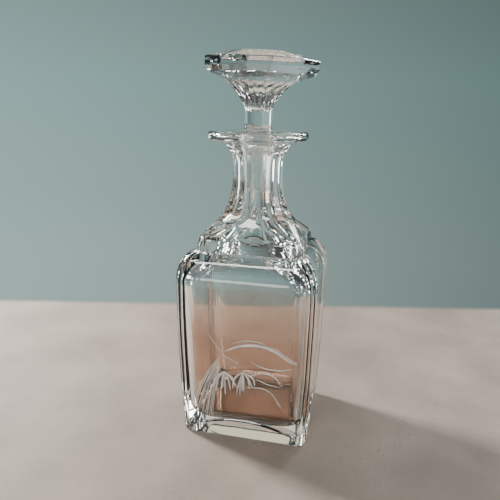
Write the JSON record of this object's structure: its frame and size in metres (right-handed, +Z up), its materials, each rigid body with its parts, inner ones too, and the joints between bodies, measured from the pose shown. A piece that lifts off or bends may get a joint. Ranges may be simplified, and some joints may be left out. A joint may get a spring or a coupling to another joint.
{
  "type": "wine decanter",
  "caption": "Four-sided cut-glass wine decanter with fluted corners and neck, a wide flat lip, and a lift-out ground stopper with a fluted cone and a faceted disc head.",
  "frame": {"origin": "middle of the flat underside that the decanter stands on", "axes": "+Z up along the decanter's axis, -Y out of the engraved front panel, +X to the right of that panel"},
  "size_m": [0.0984, 0.0836, 0.2708],
  "materials": {
    "decanter_glass": "clear polished lead glass, hand cut, with fine engraving on one panel and a ground seat in the neck",
    "stopper_glass": "clear polished lead glass, hand cut, with a ground plug"
  },
  "bodies": {
    "decanter": {"decanter": "decanter_glass"},
    "stopper": {"stopper": "stopper_glass"}
  },
  "joints": [
    {"name": "stopper_lift", "type": "slide", "parent": "decanter", "child": "stopper", "axis": [0, 0, 1], "range_m": [0, 0.05]}
  ]
}
